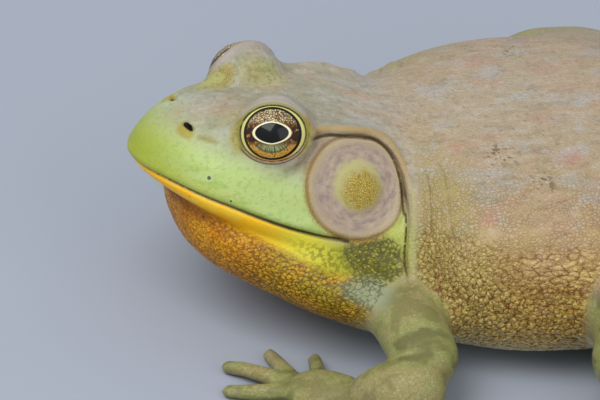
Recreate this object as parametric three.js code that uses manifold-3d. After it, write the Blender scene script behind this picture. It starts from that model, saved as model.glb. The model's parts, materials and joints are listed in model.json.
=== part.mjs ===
// A life-size American bullfrog, an adult male, resting on its belly with its head raised.
// Millimetres. +Z is up, the frog faces -Y, and its left side is +X.
// The body is worked out with the tip of the snout at y = 0 and the floor at z = 0, and is
// centred over the origin at the end.
import * as THREE from 'three';
import Module from 'manifold-3d';

const wasm = await Module();
wasm.setup();
const { degToRad, clamp, lerp } = THREE.MathUtils;
const vector = (x, y, z) => new THREE.Vector3(x, y, z);

// ---- Driving dimensions -------------------------------------------------------------------
const BODY_LENGTH = 160; // snout to vent
const GAP = 0.3; // left between neighbouring pieces
const MOUTH_HEIGHT = 24; // of the mouth line, before the head is raised
const HEAD_PITCH = degToRad(12.5); // nose up
const HEAD_YAW = degToRad(7); // turned to the frog's left
const NECK = vector(0, 65, 30); // the head turns about this point
const NECK_FRONT = 52; // in front of this the head is turned fully
const NECK_BACK = 78; // behind this it isn't turned at all
const HEAD_END = 64; // where the head is parted from the trunk
const TRUNK_END = 122; // where the trunk is parted from the rump

const EYE_RADIUS = 8.4;
const EYE_CENTRE = vector(12.8, 28.7, MOUTH_HEIGHT + 18.8);
const EYE_LIFT = degToRad(24); // the eye looks up by this from level
const EYE_FORWARD = degToRad(27); // and forward by this from sideways
const LID_THICKNESS = 0.9;
const LID_OPENING = { wide: 7.9, high: 6.7 }; // half sizes of the opening between the lids

const EAR_RADIUS = 11.6;
const EAR_CENTRE = vector(22.4, 47.5, MOUTH_HEIGHT + 11.9);
const EAR_LIFT = degToRad(31); // the eardrum looks up by this from level
const EAR_THICKNESS = 1.4;
const EAR_SIDES = 18;

const NOSTRIL = { centre: vector(5.9, 10.6, MOUTH_HEIGHT + 15.4), long: 1.5, wide: 1, deep: 1.4 };

const SKIN = { color: '#7d8456', roughness: 0.55 };
const LIP = { color: '#8fae3c', roughness: 0.45 };
const THROAT = { color: '#c99a2e', roughness: 0.55 };
const LIMB = { color: '#75803f', roughness: 0.55 };
const WEB = { color: '#6e6a45', roughness: 0.5 };
const EARDRUM = { color: '#8b7a72', roughness: 0.5 };
const EYE = { color: '#b8903a', roughness: 0.1 };

// ---- Curves through a few stations --------------------------------------------------------

// A smooth function through [place, value] pairs that never overshoots them.
function through(stations) {
  const place = stations.map((row) => row[0]);
  const value = stations.map((row) => row[1]);
  const slope = place.slice(1).map((p, i) => (value[i + 1] - value[i]) / (p - place[i]));
  const tangent = place.map((_, i) => {
    if (i === 0) return slope[0];
    if (i === place.length - 1) return slope[i - 1];
    if (slope[i - 1] * slope[i] <= 0) return 0;
    return (2 * slope[i - 1] * slope[i]) / (slope[i - 1] + slope[i]);
  });
  return (p) => {
    if (p <= place[0]) return value[0];
    if (p >= place[place.length - 1]) return value[value.length - 1];
    const i = place.findIndex((next) => next > p) - 1;
    const span = place[i + 1] - place[i];
    const t = (p - place[i]) / span;
    const start = (1 + 2 * t) * (1 - t) ** 2 * value[i] + t * (1 - t) ** 2 * span * tangent[i];
    const end = t * t * (3 - 2 * t) * value[i + 1] + t * t * (t - 1) * span * tangent[i + 1];
    return start + end;
  };
}

const smooth = (t) => {
  const x = clamp(t, 0, 1);
  return x * x * (3 - 2 * x);
};

// 0 at an end and 1 from `reach` onwards, along a quarter circle.
const rounded = (distance, reach) => Math.sqrt(1 - (1 - Math.min(distance / reach, 1)) ** 2);

// ---- Closed surfaces and solids -----------------------------------------------------------

// A closed surface of rings between two poles. pointAt(along, around) gives each corner, with
// along from 0 to 1 and around from 0 to 1.
function ringed(pointAt, rings, sides) {
  const corners = [];
  const faces = [];
  corners.push(pointAt(0, 0));
  for (let i = 1; i < rings; i++)
    for (let j = 0; j < sides; j++) corners.push(pointAt(i / rings, j / sides));
  corners.push(pointAt(1, 0));
  const last = corners.length - 1;
  const corner = (i, j) => 1 + (i - 1) * sides + (j % sides);
  for (let j = 0; j < sides; j++) {
    faces.push(0, corner(1, j + 1), corner(1, j));
    faces.push(last, corner(rings - 1, j), corner(rings - 1, j + 1));
    for (let i = 1; i < rings - 1; i++) {
      faces.push(corner(i, j), corner(i, j + 1), corner(i + 1, j));
      faces.push(corner(i, j + 1), corner(i + 1, j + 1), corner(i + 1, j));
    }
  }
  const geometry = new THREE.BufferGeometry().setFromPoints(corners);
  geometry.setIndex(faces);
  return geometry;
}

// A closed copy of a three.js primitive, with its seams welded.
function welded(geometry) {
  const place = geometry.attributes.position;
  const known = new Map();
  const corners = [];
  const number = [];
  for (let i = 0; i < place.count; i++) {
    const point = new THREE.Vector3().fromBufferAttribute(place, i);
    const key = point.toArray().map((v) => Math.round(v * 1e4)).join();
    if (!known.has(key)) known.set(key, corners.push(point) - 1);
    number.push(known.get(key));
  }
  const order = geometry.index ? geometry.index.array : number.map((_, i) => i);
  const faces = [];
  for (let i = 0; i < order.length; i += 3) {
    const [a, b, c] = [number[order[i]], number[order[i + 1]], number[order[i + 2]]];
    if (a !== b && b !== c && c !== a) faces.push(a, b, c);
  }
  const closed = new THREE.BufferGeometry().setFromPoints(corners);
  closed.setIndex(faces);
  return closed;
}

function solidOf(geometry) {
  const made = new wasm.Manifold(
    new wasm.Mesh({
      numProp: 3,
      vertProperties: new Float32Array(geometry.attributes.position.array),
      triVerts: new Uint32Array(geometry.index.array),
    }),
  );
  if (made.volume() > 0) return made;
  const order = Array.from(geometry.index.array);
  return solidOf(geometry.clone().setIndex(order.reverse()));
}

function geometryOf(solid) {
  const mesh = solid.getMesh();
  const corners = [];
  for (let i = 0; i < mesh.numVert; i++)
    corners.push(new THREE.Vector3().fromArray(mesh.vertProperties, i * mesh.numProp));
  const geometry = new THREE.BufferGeometry().setFromPoints(corners);
  geometry.setIndex(Array.from(mesh.triVerts));
  return geometry;
}

const biggest = (solid) => solid.decompose().sort((a, b) => b.volume() - a.volume())[0];

// Moves every corner of a geometry by a function of its place.
function moved(geometry, move) {
  const place = geometry.attributes.position;
  for (let i = 0; i < place.count; i++) {
    const point = move(new THREE.Vector3().fromBufferAttribute(place, i));
    place.setXYZ(i, point.x, point.y, point.z);
  }
  return geometry;
}

// A ball of triangles stretched to three half sizes.
const ball = (x, y, z, detail) => {
  const geometry = welded(new THREE.IcosahedronGeometry(1, detail));
  return geometry.scale(x, y, z);
};

// A prism: an outline in the plane of x and y, from z = low up to z = high.
function prism(outline, low, high) {
  const shape = new THREE.Shape(outline.map(([x, y]) => new THREE.Vector2(x, y)));
  const options = { depth: high - low, bevelEnabled: false };
  return welded(new THREE.ExtrudeGeometry(shape, options)).translate(0, 0, low);
}

// A prism that runs right across the frog: an outline in the plane of y and z.
const across = (outline, halfWidth) =>
  moved(prism(outline, -halfWidth, halfWidth), (p) => vector(p.z, p.x, p.y));

// ---- How the head is raised and turned ----------------------------------------------------

function turnedBy(share) {
  const turn = new THREE.Matrix4().makeRotationZ(HEAD_YAW * share);
  const lift = new THREE.Matrix4().makeRotationX(-HEAD_PITCH * share);
  return new THREE.Matrix4()
    .makeTranslation(NECK.x, NECK.y, NECK.z)
    .multiply(turn)
    .multiply(lift)
    .multiply(new THREE.Matrix4().makeTranslation(-NECK.x, -NECK.y, -NECK.z));
}
const HEAD_TURN = turnedBy(1);
const posed = (point) =>
  point.applyMatrix4(turnedBy(smooth((NECK_BACK - point.y) / (NECK_BACK - NECK_FRONT))));

// ---- Torso: one long form from the snout to the vent, head included -----------------------

const SNOUT_ROUNDING = 20;
const VENT_ROUNDING = 34;
const torso = {
  // Half width at the widest level.
  width: through([
    [0, 12], [8, 16.5], [18, 21.5], [30, 26], [44, 29], [54, 31], [62, 36], [70, 44], [80, 50],
    [95, 53], [112, 53], [125, 47], [140, 34], [160, 24],
  ]),
  // Height of the widest level: the lips, and then the flanks.
  level: through([
    [0, MOUTH_HEIGHT + 5], [8, MOUTH_HEIGHT + 4.6], [24, MOUTH_HEIGHT + 3.2],
    [44, MOUTH_HEIGHT], [66, 22], [95, 20], [130, 20], [160, 17],
  ]),
  // From the widest level up to the midline of the back.
  top: through([
    [0, 11], [8, 13.5], [16, 15.5], [28, 18.5], [44, 23.5], [56, 23.5], [72, 26], [95, 27],
    [118, 26.5], [135, 23], [160, 16],
  ]),
  // From the widest level down to the underside.
  under: through([
    [0, 5], [8, 6], [20, 8], [40, 12], [56, 19], [70, 23.5], [95, 22], [130, 21.5], [150, 19],
    [160, 14],
  ]),
  // How square the upper and lower halves of a section are: 2 is an ellipse.
  squareTop: through([[0, 2], [12, 2.1], [28, 2.7], [46, 4.2], [58, 2.7], [70, 2.1], [95, 2.4],
    [130, 2.2], [160, 2]]),
  squareUnder: through([[0, 2], [45, 2.1], [80, 2.5], [130, 2.5], [160, 2]]),
  // How much narrower the roof of a section is than its widest level.
  taper: through([[0, 0], [12, 0.04], [28, 0.2], [46, 0.42], [58, 0.24], [75, 0], [160, 0]]),
};

const torsoPoint = (grow) => (along, around) => {
  // Rings lie closer together towards both ends.
  const y = BODY_LENGTH * (along - 0.12 * Math.sin(2 * Math.PI * along));
  const ends = rounded(y, SNOUT_ROUNDING) * rounded(BODY_LENGTH - y, VENT_ROUNDING);
  const angle = 2 * Math.PI * around;
  const [c, s] = [Math.cos(angle), Math.sin(angle)];
  const power = 2 / (s > 0 ? torso.squareTop : torso.squareUnder)(y);
  const reach = (s > 0 ? torso.top : torso.under)(y) * ends + grow;
  const rise = Math.sign(s) * Math.abs(s) ** power;
  const out = Math.sign(c) * Math.abs(c) ** power * (1 - torso.taper(y) * Math.max(rise, 0));
  return posed(
    vector(
      (torso.width(y) * ends + grow) * out,
      y + grow * (2 * along - 1),
      torso.level(y) + reach * rise,
    ),
  );
};

// ---- Throat: the sac below the jaws and the chest behind it -------------------------------

const THROAT_START = 10;
const THROAT_END = 108;
const throat = {
  width: through([[10, 15], [16, 19.5], [24, 24.5], [31, 29.5], [40, 37], [50, 42], [66, 46.5], [108, 48]]),
  level: through([
    [10, MOUTH_HEIGHT - 4], [18, MOUTH_HEIGHT - 6.5], [30, MOUTH_HEIGHT - 8],
    [50, MOUTH_HEIGHT - 9], [92, MOUTH_HEIGHT - 8],
  ]),
  top: through([[10, 5], [14, 8], [40, 10], [92, 14]]),
  under: through([[10, 8], [16, 10], [28, 12], [44, 14], [66, 17], [92, 17]]),
};

const throatPoint = (grow) => (along, around) => {
  const y = lerp(THROAT_START, THROAT_END, along - 0.1 * Math.sin(2 * Math.PI * along));
  const ends = rounded(y - THROAT_START, 16) * rounded(THROAT_END - y, 36);
  const angle = 2 * Math.PI * around;
  const [c, s] = [Math.cos(angle), Math.sin(angle)];
  const reach = (s > 0 ? throat.top : throat.under)(y) * ends + grow;
  return posed(
    vector(
      (throat.width(y) * ends + grow) * c,
      y + grow * (2 * along - 1),
      throat.level(y) + reach * s,
    ),
  );
};

// ---- Limbs --------------------------------------------------------------------------------

// A rounded limb along a smooth path. sizes holds [share of the way, half width, half height].
function tube({ path, sizes, rings = 7, sides = 9 }, side, grow = 0) {
  const curve = new THREE.CatmullRomCurve3(path.map(([x, y, z]) => vector(side * x, y, z)));
  const wide = through(sizes.map((row) => [row[0], row[1]]));
  const high = through(sizes.map((row) => [row[0], row[2]]));
  const length = curve.getLength();
  return ringed(
    (along, around) => {
      const t = along - 0.1 * Math.sin(2 * Math.PI * along);
      const centre = curve.getPointAt(t);
      const ahead = curve.getTangentAt(t);
      const sideways = vector(0, 0, 1).cross(ahead).normalize();
      const upward = ahead.clone().cross(sideways);
      const nearer = Math.min(t, 1 - t);
      const ends = rounded(nearer * length, Math.min(wide(t), high(t)));
      const angle = 2 * Math.PI * around;
      return centre
        .addScaledVector(ahead, grow * (2 * along - 1))
        .addScaledVector(sideways, (wide(t) * ends + grow) * Math.cos(angle))
        .addScaledVector(upward, (high(t) * ends + grow) * Math.sin(angle));
    },
    rings,
    sides,
  );
}

// Each limb is written for the left side.
const armPieces = {
  upper_arm: {
    path: [[33, 60, 15], [50, 62, 15.5], [65, 66, 12]],
    sizes: [[0, 8.5, 8], [0.5, 8.5, 8], [1, 7.5, 7.5]],
  },
  forearm: {
    path: [[66, 67, 12.5], [66, 58, 10.5], [59, 46, 6.5]],
    sizes: [[0, 7.5, 7.5], [0.4, 8.6, 8.4], [1, 4.8, 4.3]],
  },
  hand: {
    path: [[60, 49, 6], [54, 42, 4.4], [48, 35, 2.9]],
    sizes: [[0, 4.5, 3.8], [0.6, 7.2, 3.8], [1, 7.4, 2.8]],
    rings: 6,
  },
};
const FINGER_SIZES = [[0, 2.7, 2.4], [0.5, 1.9, 1.8], [0.88, 1.7, 1.6], [1, 1.6, 1.4]];
const fingers = [
  [[53, 40, 3], [43, 41.5, 2.6], [34, 42, 1.2]],
  [[50, 36.5, 2.8], [40, 33.5, 2.6], [31, 31.5, 1.1]],
  [[48, 34, 2.8], [41.5, 27, 2.8], [36, 20, 1.1]],
  [[51, 34.5, 2.8], [50, 27, 2.6], [46.5, 18.5, 1.1]],
];

const legPieces = {
  thigh: {
    path: [[12, 146, 21], [36, 131, 22], [60, 103, 18.5]],
    sizes: [[0, 14, 14], [0.45, 15.5, 16], [1, 11, 12]],
    rings: 8,
  },
  shank: {
    path: [[65, 99, 15.5], [61, 127, 15.5], [33, 160, 9.5]],
    sizes: [[0, 9, 11], [0.4, 11.5, 12], [1, 6, 6.5]],
    rings: 8,
  },
  tarsus: {
    path: [[29, 163, 7.5], [48, 161, 6.5], [69, 140, 5.2]],
    sizes: [[0, 7, 7], [0.5, 5.6, 5.8], [1, 5.6, 4.8]],
  },
  foot: {
    path: [[68, 142, 5], [73, 129, 4.2], [77, 116, 3]],
    sizes: [[0, 5.6, 4.5], [1, 8.5, 2.8]],
    rings: 7,
  },
};
const TOE_SIZES = [[0, 2.6, 2.5], [0.5, 1.8, 1.8], [0.9, 1.4, 1.4], [1, 1.3, 1.2]];
const toes = [
  [[73, 118, 2.6], [67, 109, 2], [62, 100, 1.2]],
  [[74, 116, 2.6], [69, 101, 2.2], [65, 87, 1.2]],
  [[76, 115, 2.6], [74, 95, 2.4], [72, 74, 1.2]],
  [[78, 115, 2.6], [83, 89, 2.6], [85, 60, 1.2]],
  [[81, 117, 2.6], [90, 101, 2.2], [97, 82, 1.2]],
];
const WEB_LOW = 0.5;
const WEB_HIGH = 1.4;
const WEB_STEPS = 4;
// How far along its two toes each web reaches.
const webs = [[0.95, 0.72], [0.94, 0.7], [0.94, 0.66], [0.68, 0.94]];

// A web between two toes: out along one, back along the other, with a hollow free edge.
function web(from, to, [reachFrom, reachTo], side) {
  const [first, second] = [from, to].map(
    (path) => new THREE.CatmullRomCurve3(path.map(([x, y, z]) => vector(side * x, y, z))),
  );
  const steps = [...Array(WEB_STEPS + 1).keys()].map((i) => i / WEB_STEPS);
  const out = steps.map((t) => first.getPointAt(t * reachFrom));
  const back = steps.map((t) => second.getPointAt((1 - t) * reachTo));
  const root = first.getPointAt(0).lerp(second.getPointAt(0), 0.5);
  const [start, end] = [out[WEB_STEPS], back[0]];
  const hollow = start.clone().lerp(end, 0.5).lerp(root, 0.2);
  const edge = new THREE.QuadraticBezierCurve3(start, hollow, end).getPoints(4).slice(1, -1);
  return prism([...out, ...edge, ...back].map((p) => [p.x, p.y]), WEB_LOW, WEB_HIGH);
}

// ---- Fold of skin from behind each eye, over the ear and down to the shoulder -------------

// A place beside the left ear: so far back, up and out from its middle, in its own plane.
const besideEar = ([back, up, out]) => [
  EAR_CENTRE.x - up * Math.sin(EAR_LIFT) + out * Math.cos(EAR_LIFT),
  EAR_CENTRE.y + back,
  EAR_CENTRE.z + up * Math.cos(EAR_LIFT) + out * Math.sin(EAR_LIFT),
];

const fold = {
  path: [
    [-14, 10, -2.5], [-6, 12.6, -2.2], [3, 12.6, -1.8], [10.2, 7.6, -0.8], [13.2, -2.5, 0.4],
    [13.2, -13, 2.2], [14, -23, 5],
  ].map(besideEar),
  sizes: [[0, 1.2, 1.2], [0.3, 1.9, 1.9], [1, 2.4, 2.4]],
  rings: 9,
  sides: 6,
};

// ---- The body and its cuts ----------------------------------------------------------------

const RINGS = 30;
const SIDES = 24;
const bodyOf = (grow) =>
  solidOf(ringed(torsoPoint(grow), RINGS, SIDES)).add(
    solidOf(ringed(throatPoint(grow), 13, 18)),
  );
const FAR = 300; // beyond the frog on every side
const aboveFloor = (solid) =>
  solid.intersect(
    solidOf(welded(new THREE.BoxGeometry(FAR, 2 * FAR, FAR)).translate(0, 0, FAR / 2)),
  );

// Everything between two places along the body, posed like it.
function slice(from, to) {
  const outline = [[from, -20], [to, -20], [to, 80], [from, 80]];
  return solidOf(moved(across(outline, 80), posed));
}

// Height of the mouth line: the snout overhangs it in front.
const mouth = through([
  [-8, MOUTH_HEIGHT], [0, MOUTH_HEIGHT + 1.4], [8, MOUTH_HEIGHT + 3], [20, MOUTH_HEIGHT + 3.3],
  [32, MOUTH_HEIGHT + 2], [44, MOUTH_HEIGHT], [64, MOUTH_HEIGHT - 2],
]);

// Everything below the mouth, from in front of the chin to the end of the head.
const MOUTH_STEP = 6;
function belowMouth(rise) {
  const lips = [];
  for (let y = -8; y < HEAD_END; y += MOUTH_STEP) lips.push([y, mouth(y) + rise]);
  const last = [HEAD_END, mouth(HEAD_END) + rise];
  return solidOf(moved(across([[-8, -20], ...lips, last, [HEAD_END, -20]], 80), posed));
}

const SIDE = { left: 1, right: -1 };
const mirrored = (point, side) => vector(side * point.x, point.y, point.z);

// Places something made around the origin, looking along +Z, on the head.
function onHead(geometry, centre, direction) {
  const look = new THREE.Matrix4().makeRotationFromQuaternion(
    new THREE.Quaternion().setFromUnitVectors(vector(0, 0, 1), direction),
  );
  return geometry
    .applyMatrix4(look)
    .translate(centre.x, centre.y, centre.z)
    .applyMatrix4(HEAD_TURN);
}

const eyeLook = (side) =>
  vector(
    side * Math.cos(EYE_LIFT) * Math.cos(EYE_FORWARD),
    -Math.cos(EYE_LIFT) * Math.sin(EYE_FORWARD),
    Math.sin(EYE_LIFT),
  );
const earLook = (side) => vector(side * Math.cos(EAR_LIFT), 0, Math.sin(EAR_LIFT));

const eyeball = (side, radius, detail) =>
  solidOf(onHead(ball(radius, radius, radius, detail), mirrored(EYE_CENTRE, side), eyeLook(side)));

function lid(side) {
  const radius = EYE_RADIUS + GAP + LID_THICKNESS;
  return solidOf(
    onHead(ball(radius, radius * 1.05, radius, 2), mirrored(EYE_CENTRE, side), eyeLook(side)),
  );
}

// The way in to the eye between its lids.
function lidOpening(side) {
  const geometry = new THREE.CylinderGeometry(1, 1, 20, 18).rotateX(Math.PI / 2);
  geometry.scale(LID_OPENING.high, LID_OPENING.wide, 1).translate(0, 0, 10);
  return solidOf(onHead(welded(geometry), mirrored(EYE_CENTRE, side), eyeLook(side)));
}

// The hollow the eardrum lies in.
function earHollow(side) {
  const radius = EAR_RADIUS + GAP;
  const geometry = new THREE.CylinderGeometry(radius, radius, 10, EAR_SIDES).rotateX(Math.PI / 2);
  geometry.translate(0, 0, 5 - EAR_THICKNESS);
  return solidOf(onHead(welded(geometry), mirrored(EAR_CENTRE, side), earLook(side)));
}

// A thin disc with a low boss in the middle and a rim that falls away.
function eardrum(side) {
  const back = GAP - EAR_THICKNESS;
  const profile = [
    [0, back], [EAR_RADIUS, back], [EAR_RADIUS, -0.2], [EAR_RADIUS * 0.85, 0.3],
    [EAR_RADIUS * 0.45, 0.2], [0, 0.9],
  ];
  const geometry = new THREE.LatheGeometry(profile.map(([r, h]) => new THREE.Vector2(r, h)), EAR_SIDES);
  geometry.rotateX(Math.PI / 2);
  return solidOf(onHead(welded(geometry), mirrored(EAR_CENTRE, side), earLook(side)));
}

function nostril(side) {
  const geometry = ball(NOSTRIL.long, NOSTRIL.wide, NOSTRIL.deep, 0);
  const look = vector(side * 0.75, -0.35, 0.6).normalize();
  return solidOf(onHead(geometry, mirrored(NOSTRIL.centre, side), look));
}

const sides = Object.values(SIDE);
const withFolds = (grow) =>
  sides.reduce((solid, side) => solid.add(solidOf(moved(tube(fold, side, grow), posed))), bodyOf(grow));
const body = withFolds(0);
const grownBody = withFolds(GAP);

let head = body;
for (const side of sides) {
  head = head.add(lid(side)).subtract(eyeball(side, EYE_RADIUS + GAP, 2));
  head = head.subtract(lidOpening(side)).subtract(earHollow(side));
  head = head.subtract(nostril(side));
}
head = head.subtract(belowMouth(GAP / 2)).intersect(slice(-20, HEAD_END - GAP / 2));

const pieces = new Map();
const put = (name, solid, look) => pieces.set(name, { solid: biggest(aboveFloor(solid)), look });

put('head', head, SKIN);
put('lower_jaw', body.intersect(belowMouth(-GAP / 2)).intersect(slice(-20, HEAD_END - GAP / 2)), THROAT);
put('trunk', body.intersect(slice(HEAD_END + GAP / 2, TRUNK_END - GAP / 2)), SKIN);
put('rump', body.intersect(slice(TRUNK_END + GAP / 2, BODY_LENGTH + 20)), SKIN);

for (const [sideName, side] of Object.entries(SIDE)) {
  put(`eye_${sideName}`, eyeball(side, EYE_RADIUS, 2), EYE);
  put(`ear_${sideName}`, eardrum(side), EARDRUM);

  // Each piece gives way to the body and to the pieces before it.
  let taken = grownBody;
  const add = (name, piece, look) => {
    put(`${name}_${sideName}`, solidOf(tube(piece, side)).subtract(taken), look);
    taken = taken.add(solidOf(tube(piece, side, GAP)));
  };
  for (const [name, piece] of Object.entries({ ...armPieces, ...legPieces })) add(name, piece, LIMB);
  fingers.forEach((path, i) =>
    add(`finger_${i + 1}`, { path, sizes: FINGER_SIZES, rings: 5, sides: 7 }, LIMB),
  );
  toes.forEach((path, i) =>
    add(`toe_${i + 1}`, { path, sizes: TOE_SIZES, rings: 5, sides: 7 }, LIMB),
  );
  webs.forEach((reach, i) => {
    const plate = solidOf(web(toes[i], toes[i + 1], reach, side));
    put(`web_${i + 1}_${sideName}`, plate.subtract(taken), WEB);
  });
}

// ---- The frog -----------------------------------------------------------------------------

const bullfrog = new THREE.Group();
for (const [name, { solid, look }] of pieces) {
  const mesh = new THREE.Mesh(geometryOf(solid), new THREE.MeshStandardMaterial(look));
  mesh.name = name;
  bullfrog.add(mesh);
}
const middle = new THREE.Box3().setFromObject(bullfrog).getCenter(new THREE.Vector3());
for (const mesh of bullfrog.children) mesh.geometry.translate(-middle.x, -middle.y, 0);

export default bullfrog;
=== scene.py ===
"""The looks of a life-size American bullfrog: one skin and two eyes over its construction
model, with a pale floor, soft studio light and a camera. Sizes are in millimetres unless they
go into Blender, which takes metres."""
import json
from math import cos, radians, sin

import bmesh
import bpy
import numpy as np
from mathutils import Matrix, Vector
from mathutils.bvhtree import BVHTree

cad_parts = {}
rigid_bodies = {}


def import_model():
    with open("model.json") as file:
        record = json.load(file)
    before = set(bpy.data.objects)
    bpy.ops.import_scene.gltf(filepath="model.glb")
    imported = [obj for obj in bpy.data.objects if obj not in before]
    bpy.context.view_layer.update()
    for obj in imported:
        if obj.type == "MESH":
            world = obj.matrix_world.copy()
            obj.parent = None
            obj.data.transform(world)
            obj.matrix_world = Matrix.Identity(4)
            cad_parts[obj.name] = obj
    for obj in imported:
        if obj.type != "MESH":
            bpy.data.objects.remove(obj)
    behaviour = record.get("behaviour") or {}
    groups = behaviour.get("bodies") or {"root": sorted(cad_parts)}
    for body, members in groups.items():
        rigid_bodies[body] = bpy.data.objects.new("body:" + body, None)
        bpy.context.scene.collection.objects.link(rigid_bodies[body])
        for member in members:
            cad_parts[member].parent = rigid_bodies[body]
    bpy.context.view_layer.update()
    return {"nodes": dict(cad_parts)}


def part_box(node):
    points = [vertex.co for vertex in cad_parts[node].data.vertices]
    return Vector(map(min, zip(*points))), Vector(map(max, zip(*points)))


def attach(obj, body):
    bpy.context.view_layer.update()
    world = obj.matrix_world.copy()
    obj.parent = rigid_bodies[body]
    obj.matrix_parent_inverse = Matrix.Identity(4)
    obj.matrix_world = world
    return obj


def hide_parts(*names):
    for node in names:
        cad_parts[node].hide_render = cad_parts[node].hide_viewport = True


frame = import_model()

bl_info = {
    "name": "American Bullfrog",
    "version": (1, 0, 0),
    "blender": (4, 5, 0),
    "location": "View3D > Sidebar > Bullfrog",
    "description": "Dresses the bullfrog's construction model in its skin and eyes",
    "category": "Add Mesh",
}

MM = 0.001
SIDES = {"left": 1, "right": -1}

# ---- The body plan ------------------------------------------------------------------------
# The frog before its head is raised: the snout tip at y = 0, its left side at +X.

HEAD_PITCH = radians(12.5)  # how far the head is raised
HEAD_YAW = radians(7)  # how far it is turned to its left
NECK = np.array([0.0, 65.0, 30.0])  # the place it is raised and turned about
NECK_FRONT = 52
NECK_BACK = 78
MOUTH_HEIGHT = 24
MOUTH_CORNER = 46.5
BODY_LENGTH = 160  # from snout to vent

EYE_RADIUS = 8.4
EYE_CENTRE = np.array([12.8, 28.7, MOUTH_HEIGHT + 18.8])
EAR_CENTRE = np.array([22.4, 47.5, MOUTH_HEIGHT + 11.9])
EAR_LIFT = radians(31)
NOSTRIL_CENTRE = np.array([6.3, 10.5, MOUTH_HEIGHT + 15.4])

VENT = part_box("rump")[1].y / MM
PLAN_ORIGIN = np.array([0.0, VENT - BODY_LENGTH, 0.0])


def smooth(value, start, full):
    """0 at start, 1 at full and beyond it, and an easy curve between them. Either may be the
    larger one."""
    t = np.clip((value - start) / (full - start), 0, 1)
    return t * t * (3 - 2 * t)


def bump(distance, width):
    """1 where distance is 0, falling away on both sides."""
    return np.exp(-((distance / width) ** 2))


def ridge(distance, *, height, width, at=0.0):
    """A rounded ridge along a line, or a groove where its height is under 0."""
    return height * bump(distance - at, width)


def through(stations):
    """A smooth function through [place, value] pairs that never overshoots them."""
    place, value = np.array(stations, float).T
    slope = np.diff(value) / np.diff(place)
    tangent = np.concatenate([slope[:1], slope[1:], slope[-1:]])
    for i in range(1, len(slope)):
        a, b = slope[i - 1], slope[i]
        tangent[i] = 0 if a * b <= 0 else 2 * a * b / (a + b)

    def at(p):
        i = np.clip(np.searchsorted(place, p, side="right") - 1, 0, len(slope) - 1)
        span = place[i + 1] - place[i]
        t = np.clip((p - place[i]) / span, 0, 1)
        start = (1 + 2 * t) * (1 - t) ** 2 * value[i] + t * (1 - t) ** 2 * span * tangent[i]
        end = t * t * (3 - 2 * t) * value[i + 1] + t * t * (t - 1) * span * tangent[i + 1]
        return start + end

    return at


mouth_rise = through([
    [-8, 2], [0, 3.2], [8, 4.1], [18, 3.9], [26, 2.9], [34, 1.9], [41, 1.4], [48, 1.3], [64, 1],
])


def mouth(y):
    """The height of the mouth's line."""
    return MOUTH_HEIGHT + mouth_rise(y)


def head_share(y):
    """1 on the head, 0 on the body, and between them on the neck."""
    return smooth(y, NECK_BACK, NECK_FRONT)


def spun(a, b, angle):
    """Two coordinates, turned in their plane."""
    return a * np.cos(angle) - b * np.sin(angle), a * np.sin(angle) + b * np.cos(angle)


def posed(plan):
    """Body plan points, moved to where they are in the scene, in millimetres."""
    share = head_share(plan[:, 1])
    x, y, z = (plan - NECK).T
    y, z = spun(y, z, -HEAD_PITCH * share)
    x, y = spun(x, y, HEAD_YAW * share)
    return np.stack([x, y, z], axis=1) + NECK + PLAN_ORIGIN


UNPOSING_ROUNDS = 14  # enough to find each place to well under 0.01 mm


def unposed(points):
    """The body plan of scene points: the way back from posed, found in a few rounds."""
    placed = points - PLAN_ORIGIN
    plan = placed
    for _ in range(UNPOSING_ROUNDS):
        share = head_share(plan[:, 1])
        x, y, z = (placed - NECK).T
        x, y = spun(x, y, -HEAD_YAW * share)
        y, z = spun(y, z, HEAD_PITCH * share)
        plan = np.stack([x, y, z], axis=1) + NECK
    return plan


# ---- Meshes as arrays ---------------------------------------------------------------------


STEADY_SHARE = 0.7  # of the way to its neighbours, the most a corner moves in one step


class Surface:
    """A mesh's corners in millimetres, and the links between them."""

    def __init__(self, mesh):
        self.mesh = mesh
        count = len(mesh.vertices)
        flat = np.empty(count * 3)
        mesh.vertices.foreach_get("co", flat)
        self.points = flat.reshape(-1, 3) / MM
        links = np.empty(len(mesh.edges) * 2, np.int64)
        mesh.edges.foreach_get("vertices", links)
        self.links = links.reshape(-1, 2).T.copy()
        self.valence = np.bincount(links, minlength=count)

    def average(self, values):
        """Each corner's mean over its neighbours."""
        a, b = self.links
        count = len(self.valence)
        if values.ndim == 1:
            total = np.bincount(a, values[b], count) + np.bincount(b, values[a], count)
            return total / self.valence
        return np.stack([self.average(column) for column in values.T], axis=1)

    def relax(self, reach, steps):
        """Evens the surface out over so many millimetres, given for each corner."""
        a, b = self.links
        step = self.points[a] - self.points[b]
        spread = (step**2).sum(axis=1).mean() / 2
        share = np.minimum(reach**2 / (steps * spread), STEADY_SHARE)[:, None]
        for _ in range(steps):
            self.points += share * (self.average(self.points) - self.points)

    def store(self):
        """Moves the mesh's corners to where they are in the array."""
        self.mesh.vertices.foreach_set("co", (self.points * MM).ravel())
        self.mesh.update()

    def normals(self):
        """Which way each corner faces."""
        self.store()
        flat = np.empty(len(self.valence) * 3)
        self.mesh.vertex_normals.foreach_get("vector", flat)
        return flat.reshape(-1, 3)

    def push(self, amount):
        """Moves each corner outwards."""
        self.points += self.normals() * np.asarray(amount)[:, None]

    def keep(self, name, values):
        """Stores one number for each corner under a name."""
        attribute = self.mesh.attributes.new(name, "FLOAT", "POINT")
        attribute.data.foreach_set("value", np.asarray(values, np.float32))


def deselect():
    if bpy.context.object and bpy.context.object.mode != "OBJECT":
        bpy.ops.object.mode_set(mode="OBJECT")
    bpy.ops.object.select_all(action="DESELECT")


def only(piece):
    """Makes one piece the selected and active one."""
    deselect()
    piece.select_set(True)
    bpy.context.view_layer.objects.active = piece
    return piece


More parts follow.
